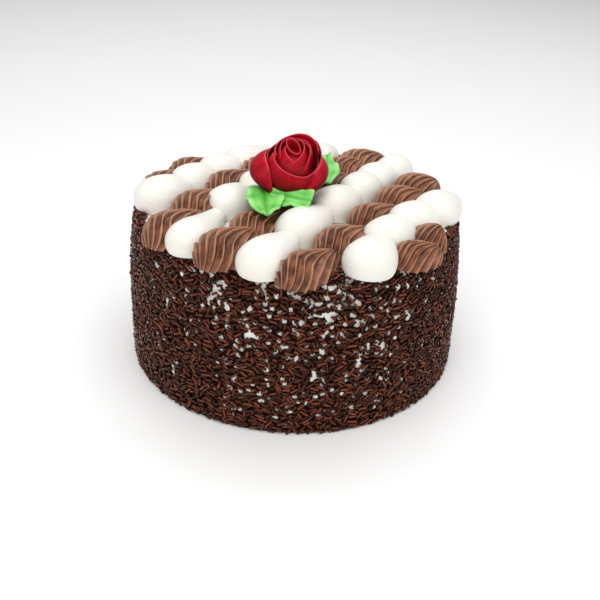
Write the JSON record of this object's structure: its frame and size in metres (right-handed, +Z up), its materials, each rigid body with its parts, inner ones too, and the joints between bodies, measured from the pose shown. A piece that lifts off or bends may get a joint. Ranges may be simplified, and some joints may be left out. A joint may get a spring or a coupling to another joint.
{
  "type": "checkerboard cake",
  "caption": "Round iced cake with sprinkled side, rows of piped white and chocolate shells on top, and a piped red rose with green leaves.",
  "frame": {"origin": "centre of the cake's flat base, on the surface it stands on", "axes": "+Z up, -Y towards the side seen from the front, where the rose leans"},
  "size_m": [0.2175, 0.2244, 0.1476],
  "materials": {
    "sprinkled_icing": "dark chocolate sprinkles over white icing",
    "white_icing": "smooth satin white icing",
    "chocolate_icing": "ribbed satin chocolate icing",
    "red_icing": "satin deep red icing",
    "green_icing": "satin bright green icing"
  },
  "bodies": {
    "root": {"cake_drum": "sprinkled_icing", "choc_shell_b1": "chocolate_icing", "choc_shell_b2": "chocolate_icing", "choc_shell_b3": "chocolate_icing", "choc_shell_b4": "chocolate_icing", "choc_shell_b5": "chocolate_icing", "choc_shell_d1": "chocolate_icing", "choc_shell_d2": "chocolate_icing", "choc_shell_d3": "chocolate_icing", "choc_shell_d4": "chocolate_icing", "choc_shell_d5": "chocolate_icing", "choc_shell_d6": "chocolate_icing", "choc_shell_f1": "chocolate_icing", "choc_shell_f2": "chocolate_icing", "choc_shell_f3": "chocolate_icing", "choc_shell_f4": "chocolate_icing", "choc_shell_f5": "chocolate_icing", "choc_shell_h1": "chocolate_icing", "choc_shell_h2": "chocolate_icing", "choc_shell_z1": "chocolate_icing", "choc_shell_z2": "chocolate_icing", "leaf_back_right": "green_icing", "leaf_front_left": "green_icing", "leaf_front_right": "green_icing", "rose": "red_icing", "white_shell_a1": "white_icing", "white_shell_a2": "white_icing", "white_shell_a3": "white_icing", "white_shell_a4": "white_icing", "white_shell_c1": "white_icing", "white_shell_c2": "white_icing", "white_shell_c3": "white_icing", "white_shell_c4": "white_icing", "white_shell_c5": "white_icing", "white_shell_e1": "white_icing", "white_shell_e2": "white_icing", "white_shell_e3": "white_icing", "white_shell_e4": "white_icing", "white_shell_e5": "white_icing", "white_shell_e6": "white_icing", "white_shell_g1": "white_icing", "white_shell_g2": "white_icing", "white_shell_g3": "white_icing", "white_shell_g4": "white_icing"}
  },
  "joints": []
}
